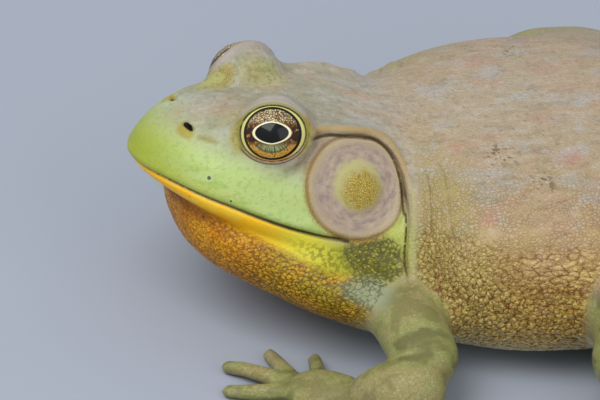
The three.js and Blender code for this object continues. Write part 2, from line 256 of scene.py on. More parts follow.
def with_modifier(piece, kind, **settings):
    """Applies a modifier to a piece."""
    only(piece)
    modifier = piece.modifiers.new(kind.lower(), kind)
    for name, value in settings.items():
        setattr(modifier, name, value)
    bpy.ops.object.modifier_apply(modifier=modifier.name)


# ---- What a user may change ---------------------------------------------------------------


def linear(code):
    """A colour written as sRGB hex, as Blender's linear numbers."""
    parts = [int(code[i:i + 2], 16) / 255 for i in (1, 3, 5)]
    return [*(p / 12.92 if p <= 0.04045 else ((p + 0.055) / 1.055) ** 2.4 for p in parts), 1]


def colour_choice(name, description, code):
    return bpy.props.FloatVectorProperty(
        name=name, description=description, subtype="COLOR", size=4, min=0, max=1,
        default=linear(code),
    )


def length_choice(name, description, millimetres):
    return bpy.props.FloatProperty(
        name=name, description=description, unit="LENGTH", precision=5, min=0,
        default=millimetres * MM,
    )


def angle_choice(name, description, degrees):
    return bpy.props.FloatProperty(
        name=name, description=description, subtype="ANGLE", default=radians(degrees),
    )


def light_choice(name, description, strength, unit="POWER"):
    return bpy.props.FloatProperty(
        name=name, description=description, unit=unit, min=0, default=strength,
    )


class SkinLook(bpy.types.PropertyGroup):
    """Sizes and colours of the skin"""

    granule: length_choice("Granule", "Width of a granule low on the flanks", 1.35)
    relief: length_choice("Relief", "How far the granules of the flanks stand out", 0.42)
    fold: length_choice("Fold", "Height of the fold of skin over each eardrum", 0.8)
    back: colour_choice("Back", "Ground colour of the back and crown", "#a99b86")
    flank: colour_choice("Flank", "Ground colour of the flanks", "#b59a62")
    cheek: colour_choice("Cheek", "Green of the snout and cheeks", "#b3c679")
    lip: colour_choice("Lip", "Yellow-green of the front of the upper lip", "#98a42c")
    jaw: colour_choice("Jaw", "Smooth band along the lower jaw", "#ffc014")
    throat: colour_choice("Throat", "Granules of the throat", "#cf8a0a")
    limb: colour_choice("Limbs", "Ground colour of the arms and legs", "#8f9156")
    belly: colour_choice("Belly", "Pale underside", "#cfc6a4")
    web: colour_choice("Web", "Skin between the toes", "#6b6846")
    eardrum: colour_choice("Eardrum", "Mauve ring of each eardrum", "#a6937f")


class EyeLook(bpy.types.PropertyGroup):
    """Sizes and colours of the eyes"""

    iris_width: length_choice("Iris width", "Across the iris, black rim and all", 13)
    iris_height: length_choice("Iris height", "Down the iris, black rim and all", 11.9)
    pupil_width: length_choice("Pupil width", "Across the pupil", 7.5)
    pupil_height: length_choice("Pupil height", "Down the pupil", 4.6)
    gold: colour_choice("Gold", "Ground colour of the iris", "#c39434")
    rim: colour_choice("Rim", "Pale ring round the pupil", "#efe8bd")
    white: colour_choice("White", "The eye outside the iris", "#e0d884")
    pupil: colour_choice("Pupil", "The pupil", "#040406")


class StageLook(bpy.types.PropertyGroup):
    """Floor, light and camera"""

    floor: colour_choice("Floor", "Matt paint of the floor", "#9fa5b1")
    key: light_choice("Key light", "Power of the large lamp above", 12.5)
    fill: light_choice("Fill light", "Power of the lamp beside", 4)
    sky: light_choice("Sky", "Strength of the light all round", 0.78, unit="NONE")
    azimuth: angle_choice("Azimuth", "Camera's turn round the frog, from front to left", 80)
    rise: angle_choice("Rise", "Camera's angle above the floor", 31)
    roll: angle_choice("Roll", "Camera's tilt", 2.2)
    distance: length_choice("Distance", "From the camera to the frog's eye", 1600)


# ---- Skin ---------------------------------------------------------------------------------

FLESH = [name for name in frame["nodes"] if not name.startswith("eye_")]
GROWTH = 0.4  # closes the thin cuts between the pieces
SHRINKAGE = 0.12  # how far evening out draws the surface in, made up for afterwards
SOCKET_FILLING = 0.3  # how far the filling of the sockets stands out from the eyeballs
WELD = 0.001
VOXEL = 0.65
BLEND_ROUNDS = 30
EVEN_OUT_STEPS = 110
MOST_TRIANGLES = 192000  # how many triangles the skin is thinned to; a little under what one piece may have
SETTLE_ROUNDS = 12
FOLDED = 0.5  # cosine of the angle between a face and its corners, under which it is folded
# How far the surface is evened out, by the kind of piece that it comes from.
LIMB_EVENNESS = {
    "upper_arm": 2.6, "forearm": 1.9, "hand": 1.1, "finger": 0.6, "thigh": 3, "shank": 2.4,
    "tarsus": 1.7, "foot": 1.1, "toe": 0.5, "web": 0.5,
}
EVENNESS = {"head": 1.9, "lower_jaw": 1.9, "trunk": 3.2, "rump": 3.2, "ear": 1.6, **LIMB_EVENNESS}
LIMB_BLENDS = 6


def piece_kind(name):
    """finger for finger_2_left, and so on."""
    return next(kind for kind in EVENNESS if name.startswith(kind))


def flesh_copy(name):
    """A copy of a piece of flesh, welded and grown a little."""
    piece = bpy.data.objects.new("flesh", frame["nodes"][name].data.copy())
    bpy.context.scene.collection.objects.link(piece)
    only(piece)
    bpy.ops.object.mode_set(mode="EDIT")
    bpy.ops.mesh.select_all(action="SELECT")
    bpy.ops.mesh.remove_doubles(threshold=WELD * MM)
    bpy.ops.object.mode_set(mode="OBJECT")
    surface = Surface(piece.data)
    surface.push(np.full(len(surface.points), GROWTH))
    surface.store()
    return piece


def keep_outside(piece):
    """Deletes the small pockets closed in under the surface."""
    only(piece)
    bpy.ops.object.mode_set(mode="EDIT")
    bpy.ops.mesh.select_all(action="DESELECT")
    bpy.ops.object.mode_set(mode="OBJECT")
    max(piece.data.vertices, key=lambda corner: corner.co.z).select = True
    bpy.ops.object.mode_set(mode="EDIT")
    bpy.ops.mesh.select_linked()
    bpy.ops.mesh.select_all(action="INVERT")
    bpy.ops.mesh.delete(type="VERT")
    bpy.ops.object.mode_set(mode="OBJECT")


def skin_blank():
    """One closed surface round all the flesh, with the eye sockets filled in."""
    pieces = [flesh_copy(name) for name in FLESH]
    for side in SIDES.values():
        centre = posed((EYE_CENTRE * [side, 1, 1])[None])[0]
        bpy.ops.mesh.primitive_ico_sphere_add(
            subdivisions=4, radius=(EYE_RADIUS + SOCKET_FILLING) * MM, location=centre * MM,
        )
        pieces.append(bpy.context.object)
        bpy.ops.object.transform_apply(location=True, rotation=False, scale=False)
    deselect()
    for piece in pieces:
        piece.select_set(True)
    bpy.context.view_layer.objects.active = pieces[0]
    bpy.ops.object.join()
    skin = bpy.context.object
    skin.name = skin.data.name = "skin"
    skin.parent = None
    with_modifier(skin, "REMESH", mode="VOXEL", voxel_size=VOXEL * MM, adaptivity=0)
    keep_outside(skin)
    return skin


def nearest_kinds(points):
    """For each scene point in millimetres, the kind of piece it lies on."""
    corners, faces, kinds = [], [], []
    for name in FLESH:
        mesh = frame["nodes"][name].data
        start = len(corners)
        corners += [v.co / MM for v in mesh.vertices]
        faces += [[start + i for i in face.vertices] for face in mesh.polygons]
        kinds += [piece_kind(name)] * len(mesh.polygons)
    tree = BVHTree.FromPolygons(corners, faces)
    return np.array([kinds[tree.find_nearest(p)[2]] for p in points])


def even_out(surface, kinds):
    """Smooths away the facets, more on the body than on the digits."""
    reach = np.array([EVENNESS[kind] for kind in kinds])
    for _ in range(BLEND_ROUNDS):
        reach = surface.average(reach)
    surface.relax(reach, EVEN_OUT_STEPS)
    surface.push(np.full(len(surface.points), SHRINKAGE - GROWTH))


def finer_where(piece, wanted):
    """Divides the edges that have both ends in a wanted place, and so the faces there."""
    mesh = bmesh.new()
    mesh.from_mesh(piece.data)
    mesh.verts.ensure_lookup_table()
    edges = [e for e in mesh.edges if wanted[e.verts[0].index] and wanted[e.verts[1].index]]
    bmesh.ops.subdivide_edges(mesh, edges=edges, cuts=1, use_grid_fill=True)
    mesh.to_mesh(piece.data)
    mesh.free()
    return Surface(piece.data)


def settle(surface):
    """Evens out the few corners that thinning the mesh left folded over."""
    mesh = surface.mesh
    corners = np.empty(len(mesh.loops), np.int64)
    mesh.loops.foreach_get("vertex_index", corners)
    corners = corners.reshape(-1, 3)
    for _ in range(SETTLE_ROUNDS):
        normals = surface.normals()
        a, b, c = (surface.points[corners[:, i]] for i in range(3))
        facing = np.cross(b - a, c - a)
        facing /= np.maximum(np.linalg.norm(facing, axis=1, keepdims=True), 1e-12)
        folded = (facing[:, None] * normals[corners]).sum(axis=2).min(axis=1) < FOLDED
        bad = np.unique(corners[folded])
        surface.points[bad] = surface.average(surface.points)[bad]
    surface.store()


# ---- Skin features, shaped in the body plan with both sides alike --------------------------


def feature_axes(along, out):
    """Columns: along a feature, across it and out of it, square to each other."""
    out = np.array(out) / np.linalg.norm(out)
    along = along - out * (out @ along)
    along = along / np.linalg.norm(along)
    return np.stack([along, np.cross(out, along), out], axis=1)


EYE_LIFT = radians(25)
EYE_FORWARD = radians(28)
EYE_ROLL = radians(18)  # the opening and the pupil stay level as the head is raised
GAZE = (cos(EYE_LIFT) * cos(EYE_FORWARD), -cos(EYE_LIFT) * sin(EYE_FORWARD), sin(EYE_LIFT))
LEVEL = np.array([sin(EYE_FORWARD), cos(EYE_FORWARD), 0])
FEATURES = {  # the middle of each on the left side, and its axes
    "eye": (EYE_CENTRE, feature_axes(
        LEVEL * cos(EYE_ROLL) + np.cross(GAZE, LEVEL) * sin(EYE_ROLL), GAZE)),
    "ear": (EAR_CENTRE, feature_axes((0, 1, 0), (cos(EAR_LIFT), 0, sin(EAR_LIFT)))),
    "nostril": (NOSTRIL_CENTRE, feature_axes((0.35, 0.75, -0.55), (0.75, -0.35, 0.6))),
}
OPENING = {"wide": 7.7, "high": 6.5}  # half sizes, between the lids
LID_RADIUS = EYE_RADIUS + 0.45  # from the middle of the eye to the lids' edges
LID_FALL = 0.09  # how fast the lids curve away from their edges
SOCKET_DEPTH = 1.6  # how deep the skin runs in under the eyeball
CHIN_TUCK = -2.0  # how far the throat is drawn in under the chin


def mirror(plan):
    """Turns places on the right side over to the left, and back."""
    return np.where(plan[:, :1] < 0, [-1, 1, 1], 1)


def on_left(plan):
    """Body plan points, with those of the right side mirrored to the left."""
    return plan * mirror(plan)


def beside(plan, feature):
    """Places from the middle of the nearer eye, ear or nostril, along its axes."""
    centre, axes = FEATURES[feature]
    return (on_left(plan) - centre) @ axes


def beyond_lids(plan):
    """How far places lie outside the opening between the lids, measured over the eye."""
    back, up, out = beside(plan, "eye").T
    aside = np.hypot(back, up)
    rim = aside / np.maximum(np.hypot(back / OPENING["wide"], up / OPENING["high"]), 1e-6)
    return (np.arctan2(aside, out) - np.arcsin(rim / LID_RADIUS)) * LID_RADIUS


def from_line(plan, start, end):
    """How far places are from a line between two places on either side."""
    step = np.subtract(end, start)
    rel = on_left(plan) - start
    share = np.clip(rel @ step / (step @ step), 0, 1)
    return np.linalg.norm(rel - share[:, None] * step, axis=1)


def from_curve(points, corners, samples=48):
    """How far points in a plane are from a smooth curve, negative to its left, and the share
    of the way along it."""
    corners = np.array(corners, float)
    share = np.linspace(0, 1, len(corners))
    at = np.linspace(0, 1, samples)
    curve = np.stack([through(np.stack([share, c], axis=1))(at) for c in corners.T], axis=1)
    signed = np.full(len(points), np.inf)
    along = np.zeros(len(points))
    for i in range(samples - 1):
        step = curve[i + 1] - curve[i]
        rel = points - curve[i]
        t = np.clip(rel @ step / (step @ step), 0, 1)
        distance = np.hypot(*(rel - t[:, None] * step).T)
        closer = distance < np.abs(signed)
        side = step[1] * rel[:, 0] - step[0] * rel[:, 1]
        signed = np.where(closer, np.copysign(distance, side), signed)
        along = np.where(closer, (i + t) / (samples - 1), along)
    return signed, along


def shape_mouth(surface):
    """The closed mouth: a groove under a rolled upper lip, and the smooth band of the jaw."""
    y, z = surface.points.T[1:]
    above = z - mouth(y)
    here = smooth(y, MOUTH_CORNER + 3, MOUTH_CORNER - 5) * (np.abs(above) < 9)
    roll = ridge(above, height=0.4, at=1.5, width=1.2)
    band = ridge(above, height=0.35, at=-2.6, width=2.2)
    under = ridge(above, height=-0.3, at=-6.4, width=1.2) * smooth(y, 40, 24)
    groove = ridge(above, height=-1, at=-0.1, width=0.42)
    groove *= smooth(y, MOUTH_CORNER + 0.5, MOUTH_CORNER - 2.5)
    chin = CHIN_TUCK * smooth(y, 20, 6) * smooth(above, -4, -9) * smooth(above, -24, -16)
    surface.push(here * (roll + band + under + groove) + chin)


def larger(a, b, ease):
    """The larger of two values, with an easy change between them."""
    return (a + b + np.sqrt((a - b) ** 2 + ease**2)) / 2


def shape_lids(surface):
    """The lids: thin edges close on the eyeball, a thicker brow above, and the dome behind."""
    plan = surface.points
    place = beside(plan, "eye")
    radius = np.linalg.norm(place, axis=1)
    beyond = beyond_lids(plan)
    upper = smooth(place[:, 1], -1, 4)
    here = smooth(radius, EYE_RADIUS + 5, EYE_RADIUS + 2.5) * (radius > EYE_RADIUS - 3)
    dome = LID_RADIUS + upper * ridge(beyond, height=0.25, at=1.1, width=1.1)
    dome -= LID_FALL * np.maximum(beyond - 1, 0) ** 1.5
    creases = upper * ridge(beyond, height=0.28, at=2.4, width=0.45)
    creases += (1 - upper) * ridge(beyond, height=0.14, at=0.95, width=0.3)
    # Behind the corners of the eye the skin sinks a little before it joins the head.
    ends = ridge(beyond, height=1.1, at=5, width=2.2)
    ends *= smooth(np.abs(place[:, 0]), 2, 6) * smooth(radius, 8.6, 9.4)
    joined = (larger(dome, radius - ends, ease=0.35) - dome) * smooth(beyond, 0.2, 2.6)
    outside = dome + joined - creases
    inside = EYE_RADIUS - SOCKET_DEPTH
    wanted = inside + (outside - inside) * smooth(beyond, -0.16, 0.1)
    offset = place * (here * (wanted / radius - 1))[:, None]
    surface.points = plan + offset @ FEATURES["eye"][1].T * mirror(plan)


NOSTRIL_CREASE = [(10.3, 12.3, 39.0), (12.8, 15.6, 39.5)]
PIT_DEPTH = 1.9
PIT_LENGTH = 1.5  # half sizes of the slit
PIT_WIDTH = 0.7


def shape_nostrils(surface):
    """Each nostril: a slit on a low mound, with a short crease behind it."""
    slit, across, out = beside(surface.points, "nostril").T
    near = np.abs(out) < 4
    mound = ridge(slit, height=0.6, width=2.2) * bump(across + 0.8, 1.8)
    pit = PIT_DEPTH * np.exp(-((slit / PIT_LENGTH) ** 4)) * bump(across, PIT_WIDTH)
    crease = ridge(from_line(surface.points, *NOSTRIL_CREASE), height=-0.35, width=0.55)
    surface.push(near * (mound - pit + crease))


def shape_ears(surface):
    """Each eardrum: a groove round a raised rim, a shallow ring and a swollen middle."""
    back, up, out = beside(surface.points, "ear").T
    r = np.hypot(back, up)
    here = (np.abs(out) < 7) & (surface.points[:, 2] > 12)
    rear = smooth(back + up, -6, 8)
    rim = ridge(r, height=0.16 + 0.12 * rear, at=10.9, width=0.7)
    groove = ridge(r, height=-0.28 - 0.3 * rear, at=12, width=0.5)
    ring = ridge(r, height=-0.22, at=8.4, width=1.6)
    wrinkles = ridge(r, height=0.07, at=9.6, width=0.35) - ridge(r, height=0.08, at=6.7, width=0.4)
    middle = 0.5 * smooth(np.hypot(back - 0.6, up), 6.2, 3)
    surface.push(here * (rim + groove + ring + wrinkles + middle))


# Lines beside the ear, back and up from its middle in its plane.
FOLD = [[-14, 10], [-6, 12.6], [3, 12.6], [10.2, 7.6], [13.2, -2.5], [13.2, -13], [14, -23]]
WRINKLES = [
    [[15, 9], [18.6, 3], [18.2, -8], [21, -20], [21, -30]],
    [[20, 10], [23.5, 4], [23.5, -6], [25, -17]],
]


def fold_shapes(plan):
    """The folds and wrinkles beside the ears: how far they lift the skin as a share of the
    fold's height, how deep each place lies in a crease, and how near it is to the fold's crest."""
    back, up, out = beside(plan, "ear").T
    index = np.nonzero((np.abs(out) < 14) & (np.hypot(back - 4, up + 4) < 36))[0]
    flat = np.stack([back, up], axis=1)[index]
    lift, depth, crest = np.zeros((3, len(plan)))
    d, along = from_curve(flat, FOLD)
    ends = smooth(along, 0, 0.1) * smooth(along, 1, 0.88)
    crease = ends * bump(d - 1.15, 0.44)
    lift[index] = ends * bump(d + 0.4, 1.2) - 1.1 * crease
    depth[index] = crease
    crest[index] = ends * bump(d + 0.4, 0.95)
    for corners in WRINKLES:
        d, along = from_curve(flat, corners)
        ends = smooth(along, 0, 0.25) * smooth(along, 1, 0.75)
        crease = ends * bump(d, 0.45)
        lift[index] += ends * ridge(d, height=0.3, at=1.1, width=0.8) - 0.4 * crease
        depth[index] = np.maximum(depth[index], 0.8 * crease)
    return lift, depth, crest


def shape_folds(surface):
    """The fold over each ear with the crease beneath it, and the wrinkles behind."""
    surface.push(bpy.context.scene.bullfrog_skin.fold / MM * fold_shapes(surface.points)[0])


# Large numbers without common factors, which scatter the middles of the cells.
CELL_MIX = np.array([73856093, 19349663, 83492791])
CELL_SEEDS = (7919, 104729, 31337)
CELL_RANGE = 1000003
CELL_MARGIN = 0.15  # how far a cell's middle keeps from its sides, as a share of the cell


def cells(points, size):
    """Uneven cells about size millimetres wide: how far each point is from the middle of its
    cell and from the nearest crease between cells, as shares of the size."""
    scaled = points / size
    base = np.floor(scaled).astype(np.int64)
    first, second = np.full((2, len(points)), np.inf)
    for step in np.ndindex(3, 3, 3):
        cell = base + np.array(step) - 1
        mixed = cell @ CELL_MIX
        seed = np.stack([(mixed * k) % CELL_RANGE / CELL_RANGE for k in CELL_SEEDS], axis=1)
        middle = cell + CELL_MARGIN + (1 - 2 * CELL_MARGIN) * seed
        distance = np.linalg.norm(middle - scaled, axis=1)
        second = np.minimum(second, np.maximum(first, distance))
        first = np.minimum(first, distance)
    return first, second - first


def flank_share(plan):
    """1 low on the flanks, 0 on the back and the head."""
    x, y, z = plan.T
    return smooth(z, 44, 26) * smooth(np.abs(x), 17, 29) * smooth(y, 57, 66)


def throat_share(plan):
    """1 under the mouth, 0 above it and behind the throat."""
    y, z = plan.T[1:]
    return smooth(mouth(y) - z, 0.1, 0.8) * smooth(y - 0.3 * z, 62.8, 46.8)


def patch_share(plan, centre, reach):
    """1 in the middle of a patch on both sides, falling away over so far each way."""
    off = (on_left(plan) - centre) / reach
    return np.exp(-((off**2).sum(axis=1) ** 1.5))


# The middle and the reach of each patch.
DARK_PATCH = [[32.8, 52.5, 23.6], [7.5, 7.5, 5]]
PALE_PATCH = [[39, 51.5, 18], [6.5, 7.5, 2.8]]
DOME_FRONT = [[9.4, 20.6, 44.4], [4.5, 6.5, 4]]
DOME_TOP = [[5.8, 29, 48.2], [4, 7, 4]]


def granule_shapes(plan, bare):
    """The granules of the flanks and throat where the skin is bare of limbs: how far they lift
    it, as a share of the relief, and how deep each place lies in the creases between them."""
    width = bpy.context.scene.bullfrog_skin.granule / MM
    left = on_left(plan)
    # Slow waves keep the cells off straight rows.
    left = left + 0.35 * np.sin(0.9 * left[:, [1, 2, 0]]) + 0.15 * np.sin(2.3 * left[:, [2, 0, 1]])
    corner = np.maximum(patch_share(plan, *DARK_PATCH), patch_share(plan, *PALE_PATCH))
    flank = flank_share(plan) * bare
    flank *= smooth(flank, 0.05, 0.65) * smooth(plan[:, 2], 3, 8)
    throat = throat_share(plan) * bare * smooth(mouth(plan[:, 1]) - plan[:, 2], 5.5, 7.5)
    wrinkled = flank * smooth(plan[:, 1], 74, 92) * smooth(plan[:, 2], 22, 30)
    lift, groove = np.zeros((2, len(plan)))
    # Where each kind lies, its width, its length and the creases' width for that, and its height.
    for share, size, length, gap, height in (
        (flank * (1 - wrinkled), width, 1.1, 0.24, 1.0),
        (wrinkled, 0.95 * width, 2.5, 0.24, 1.0),
        (throat * (1 - corner), 0.75 * width, 1.7, 0.34, 0.45),
        (corner * bare, width, 1.0, 0.3, 0.5),
    ):
        index = np.nonzero(share > 0.05)[0]
        middle, edge = cells(left[index] / [1, length, 1], size)
        crease = smooth(edge, gap, 0)
        lift[index] += share[index] * height * (0.45 - 1.5 * middle**2 - 0.5 * crease)
        groove[index] = np.maximum(groove[index], smooth(share[index], 0, 0.6) * crease)
    return lift, groove


def detailed(plan, bare):
    """Where the skin has lips, folds, eardrums, lids, nostrils and granules."""
    y, z = plan.T[1:]
    lips = (np.abs(z - mouth(y) + 1.5) < 4.5) & (y < 50)
    back, up, out = beside(plan, "ear").T
    ears = (np.abs(out) < 9) & (np.hypot((back - 5) / 18, (up + 4) / 21) < 1) & (z > 12)
    eyes = (np.linalg.norm(beside(plan, "eye"), axis=1) < EYE_RADIUS + 4) & (z > 36)
    nostrils = np.linalg.norm(beside(plan, "nostril"), axis=1) < 6
    pebbled = (flank_share(plan) > 0.3) | (throat_share(plan) > 0.5)
    return lips | ears | eyes | nostrils | (pebbled & (z > 6) & (bare > 0.5))


def very_detailed(plan):
    """Round the edges of the lids and in the nostrils."""
    radius = np.linalg.norm(beside(plan, "eye"), axis=1)
    beyond = beyond_lids(plan)
    lids = (radius < EYE_RADIUS + 4) & (beyond > -1) & (beyond < 2.6)
    return lids | (np.linalg.norm(beside(plan, "nostril"), axis=1) < 3.5)


def limb_share(surface, kinds):
    """1 on the arms and legs, 0 on the body, with an easy change between them."""
    limb = np.isin(kinds, list(LIMB_EVENNESS)).astype(float)
    for _ in range(LIMB_BLENDS):
        limb = surface.average(limb)
    return limb


# How high the green of the cheeks rises, from the nostril past the eye to the ear.
cheek_top = through([[0, 35.5], [10, 38.7], [20, 39], [30, 37.5], [40, 36.5], [50, 36], [64, 31]])


def skin_marks(surface, kinds):
    """What the paint needs to know about each corner, by name, while the surface is in the
    body plan. Lengths are in millimetres, and the rest are shares from 0 to 1."""
    plan = surface.points
    x, y, z = plan.T
    facing_up = surface.normals()[:, 2]
    above = z - mouth(y)
    limb = limb_share(surface, kinds)
    eye, ear = beside(plan, "eye"), beside(plan, "ear")
    off_eye = np.maximum(np.linalg.norm(eye, axis=1) - LID_RADIUS - 1.5, 0)
    slit, across, outward = beside(plan, "nostril").T
    rim = np.hypot((slit - 0.5) / 2.1, (across + 1.4) / 1.5)
    _, crease, crest = fold_shapes(plan)
    domes = np.maximum(patch_share(plan, *DOME_FRONT), 0.45 * patch_share(plan, *DOME_TOP))
    return {
        "from_snout": y,
        "height": z,
        "above": above,
        "mouth_line": np.hypot(above + 0.1, np.maximum(y - MOUTH_CORNER, 0)),
        "limb": limb,
        "web": surface.average((kinds == "web").astype(float)),
        "lid": beyond_lids(plan) + 2 * off_eye,
        "eye_up": eye[:, 1],
        "ear_back": ear[:, 0],
        "ear_up": ear[:, 1],
        "nostril": np.hypot(slit / PIT_LENGTH, across / 0.75) + np.maximum(np.abs(outward) - 2, 0),
        "nostril_rim": rim + np.maximum(np.abs(outward) - 3, 0),
        "nostril_crease": from_line(plan, *NOSTRIL_CREASE),
        # The patch on the left dome is the paler one.
        "dome": domes * smooth(np.abs(x), 11.2, 9.2) * (1 - 0.7 * smooth(x, 0, 6)),
        "crease": crease,
        "fold": crest,
        "groove": granule_shapes(plan, 1 - limb)[1],
        "cheek": smooth(y, 65, 58) * smooth(z - cheek_top(y), 6.5, -5) * smooth(above, -0.3, 0),
        "throat": throat_share(plan) * (1 - limb),
        "flank": flank_share(plan) * (1 - limb),
        "underside": smooth(facing_up, -0.2, -0.75) * smooth(y + z / 2, 50, 66),
        "dark_patch": patch_share(plan, *DARK_PATCH) * (1 - limb),
        "pale_patch": patch_share(plan, *PALE_PATCH),
    }


class BULLFROG_OT_skin(bpy.types.Operator):
    """One skin over all the flesh"""

    bl_idname = "bullfrog.skin"
    bl_label = "Skin"

    def execute(self, context):
        look = context.scene.bullfrog_skin
        skin = skin_blank()
        surface = Surface(skin.data)
        kinds = nearest_kinds(surface.points)
        surface.points = unposed(surface.points)
        even_out(surface, kinds)
        surface.store()
        surface = finer_where(skin, detailed(surface.points, 1 - limb_share(surface, kinds)))
        surface = finer_where(skin, very_detailed(surface.points))
        bare = 1 - limb_share(surface, nearest_kinds(posed(surface.points)))
        surface.push(look.relief / MM * granule_shapes(surface.points, bare)[0])
        for shape in (shape_mouth, shape_nostrils, shape_ears, shape_folds, shape_lids):
            shape(surface)
        surface.store()
        with_modifier(skin, "TRIANGULATE")
        with_modifier(skin, "DECIMATE", ratio=MOST_TRIANGLES / len(skin.data.polygons))
        surface = Surface(skin.data)
        settle(surface)
        kinds = nearest_kinds(posed(surface.points))
        marks = skin_marks(surface, kinds)
        for name, values in marks.items():
            surface.keep(name, values)
        surface.points = posed(surface.points)
        surface.points[:, 2] = np.maximum(surface.points[:, 2], 0)
        surface.store()
        only(skin)
        bpy.ops.object.shade_smooth()
        skin.data.materials.clear()
        skin.data.materials.append(skin_material(look, marks))
        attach(skin, "root")
        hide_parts(*FLESH)
        return {"FINISHED"}


# ---- Eyes ---------------------------------------------------------------------------------

EYEBALL_RADIUS = 8.35
EYEBALL_SEGMENTS = 96
EYEBALL_RINGS = 72
CORNEA_BULGE = 0.3  # how far the front of the eye stands out from the ball
CORNEA_WIDTH = 5.5


def eye_frame(side):
    """Where an eye is and how it is turned, in the scene, in metres."""
    middle, axes = (part.T * [side, 1, 1] for part in FEATURES["eye"])
    centre, *ends = posed(np.vstack([middle, middle + axes]))
    back, up, out = [Vector(end - centre) for end in ends]
    if side < 0:
        back = -back
    return Matrix.Translation(Vector(centre) * MM) @ Matrix((back, up, out)).transposed().to_4x4()


class BULLFROG_OT_eyes(bpy.types.Operator):
    """Both eyes"""

    bl_idname = "bullfrog.eyes"
    bl_label = "Eyes"

    def execute(self, context):
        for name, side in SIDES.items():
            deselect()
            bpy.ops.mesh.primitive_uv_sphere_add(
                segments=EYEBALL_SEGMENTS, ring_count=EYEBALL_RINGS, radius=EYEBALL_RADIUS * MM,
            )
            eye = context.object
            eye.name = eye.data.name = "eyeball_" + name
            surface = Surface(eye.data)
            x, y, depth = surface.points.T
            surface.points[:, 2] += (depth > 0) * CORNEA_BULGE * bump(np.hypot(x, y), CORNEA_WIDTH)
            surface.store()
            eye.matrix_world = eye_frame(side)
            only(eye)
            bpy.ops.object.transform_apply(location=True, rotation=True, scale=True)
            bpy.ops.object.shade_smooth()
            eye.data.materials.append(eye_material(context.scene.bullfrog_eyes, name, side))
            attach(eye, "root")
            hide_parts("eye_" + name)
        return {"FINISHED"}


# ---- Materials ----------------------------------------------------------------------------


def add(tree, kind, inputs=None, **settings):
    """Adds a shader node with its settings and links. An input takes a value, a node or one of
    a node's outputs."""
    node = tree.nodes.new("ShaderNode" + kind)
    for name, value in settings.items():
        setattr(node, name, value)
    for name, value in (inputs or {}).items():
        if isinstance(value, bpy.types.Node):
            value = next(output for output in value.outputs if output.enabled)
        if isinstance(value, bpy.types.NodeSocket):
            tree.links.new(value, node.inputs[name])
        else:
            node.inputs[name].default_value = value
    return node


def new_material(name):
    material = bpy.data.materials.new(name)
    material.use_nodes = True
    material.node_tree.nodes.clear()
    return material, material.node_tree


class Painter:
    """Lays coats of paint over each other in a material.

    A coat is a colour, its strength and the limits it keeps to. The colour is sRGB hex or the
    name of a paint. A limit is the name of a field, where it starts to be met, and where it is
    met in full: the coat fades out where one isn't met."""

    def __init__(self, tree, look):
        self.tree = tree
        self.paints = {name: getattr(look, name) for name in type(look).__annotations__}
        self.fields = {}

    def share(self, strength, *limits):
        for field, start, full in limits:
            strength = add(self.tree, "MapRange", {
                "Value": self.fields[field], "From Min": start, "From Max": full,
                "To Max": strength,
            }, interpolation_type="SMOOTHSTEP")
        return strength

    def coated(self, colour, coats):
        for top, strength, *limits in coats:
            colour = add(self.tree, "Mix", {
                0: self.share(strength, *limits), 6: colour,
                7: linear(top) if top.startswith("#") else self.paints[top],
            }, data_type="RGBA")
        return colour

    def spotted(self, colour, place, spots, coats):
        """Coats for spots, where the field far_off counts from each middle in its own size."""
        for centre, size in spots:
            middle = posed(np.array([centre]))[0] * MM
            off = add(self.tree, "VectorMath", {0: place, 1: middle}, operation="DISTANCE")
            self.fields["far_off"] = add(self.tree, "Math", {
                0: off.outputs["Value"], 1: size * MM,
            }, operation="DIVIDE")
            colour = self.coated(colour, coats)
        return colour


